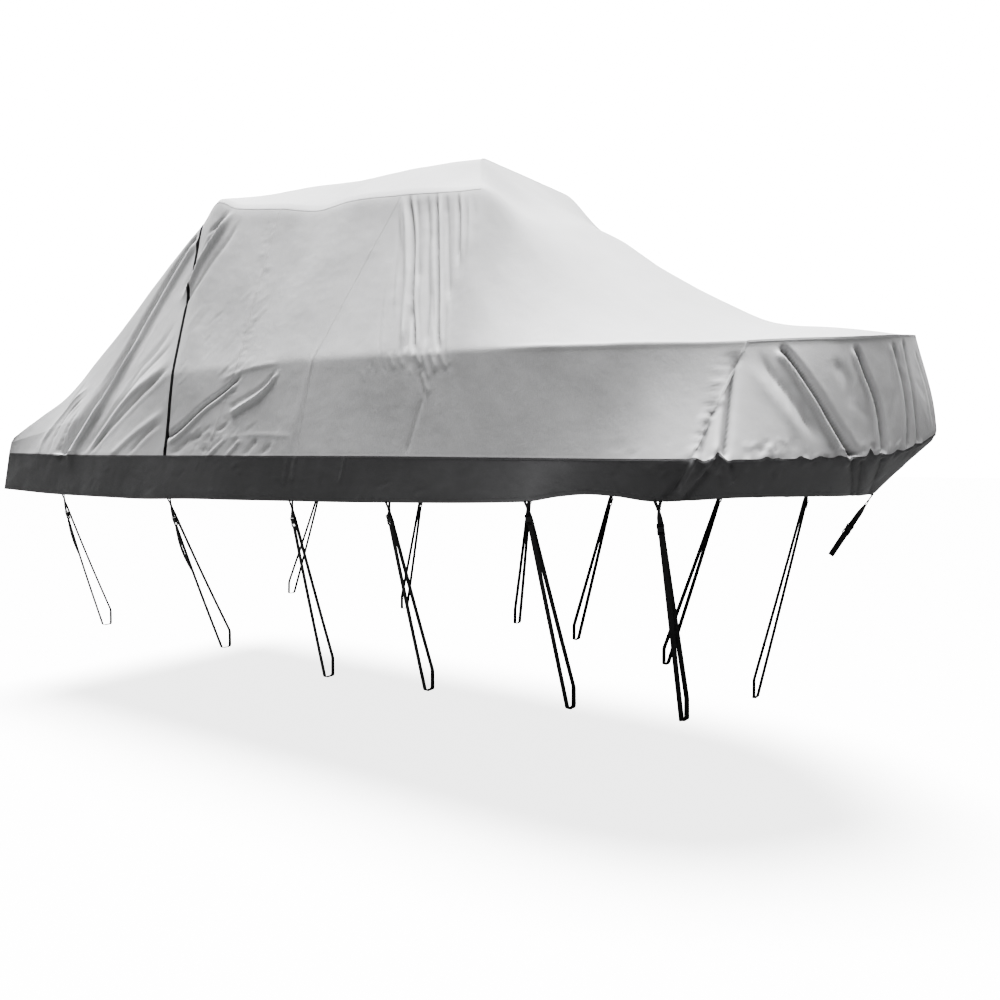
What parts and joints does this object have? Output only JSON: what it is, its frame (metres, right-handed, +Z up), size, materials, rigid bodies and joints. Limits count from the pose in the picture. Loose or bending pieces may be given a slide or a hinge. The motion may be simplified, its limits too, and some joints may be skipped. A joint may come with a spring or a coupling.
{
  "type": "boat cover",
  "caption": "Fitted cloth cover for a trailered boat with a raised hard top: panelled body, dark lower band, side zip and webbing tie-downs.",
  "frame": {"origin": "on the centreline under the roof cloth, where the boat's hard top carries the cover", "axes": "+X to the bow, +Y to port, +Z up"},
  "size_m": [6.0253, 2.3992, 3.0564],
  "materials": {
    "grey_cloth": "coated plain weave, matt",
    "dark_cloth": "coated plain weave, matt",
    "zip_tape": "matt",
    "webbing": "matt",
    "buckle_plastic": "satin"
  },
  "bodies": {
    "root": {"roof_panel": "grey_cloth", "stern_panel": "grey_cloth", "side_aft_starboard": "grey_cloth", "side_aft_port": "grey_cloth", "side_middle_starboard": "grey_cloth", "side_middle_port": "grey_cloth", "side_forward_starboard": "grey_cloth", "side_forward_port": "grey_cloth", "bow_panel_starboard": "grey_cloth", "bow_panel_port": "grey_cloth", "band_stern": "dark_cloth", "band_starboard": "dark_cloth", "band_port": "dark_cloth", "band_bow": "dark_cloth", "zip_starboard": "zip_tape", "strap_tab_starboard_1": "webbing", "strap_buckle_starboard_1": "buckle_plastic", "strap_loop_starboard_1": "webbing", "strap_tab_starboard_2": "webbing", "strap_buckle_starboard_2": "buckle_plastic", "strap_loop_starboard_2": "webbing", "strap_tab_starboard_3": "webbing", "strap_buckle_starboard_3": "buckle_plastic", "strap_loop_starboard_3": "webbing", "strap_tab_starboard_4": "webbing", "strap_buckle_starboard_4": "buckle_plastic", "strap_loop_starboard_4": "webbing", "strap_tab_starboard_5": "webbing", "strap_buckle_starboard_5": "buckle_plastic", "strap_loop_starboard_5": "webbing", "strap_tab_starboard_6": "webbing", "strap_buckle_starboard_6": "buckle_plastic", "strap_loop_starboard_6": "webbing", "strap_tab_port_1": "webbing", "strap_buckle_port_1": "buckle_plastic", "strap_loop_port_1": "webbing", "strap_tab_port_2": "webbing", "strap_buckle_port_2": "buckle_plastic", "strap_loop_port_2": "webbing", "strap_tab_port_3": "webbing", "strap_buckle_port_3": "buckle_plastic", "strap_loop_port_3": "webbing", "strap_tab_port_4": "webbing", "strap_buckle_port_4": "buckle_plastic", "strap_loop_port_4": "webbing", "strap_tab_port_5": "webbing", "strap_buckle_port_5": "buckle_plastic", "strap_loop_port_5": "webbing", "strap_tab_port_6": "webbing", "strap_buckle_port_6": "buckle_plastic", "strap_loop_port_6": "webbing", "strap_tab_bow": "webbing", "strap_buckle_bow": "buckle_plastic", "strap_loop_bow": "webbing", "strap_tail_starboard_1": "webbing", "strap_tail_starboard_2": "webbing"}
  },
  "joints": []
}
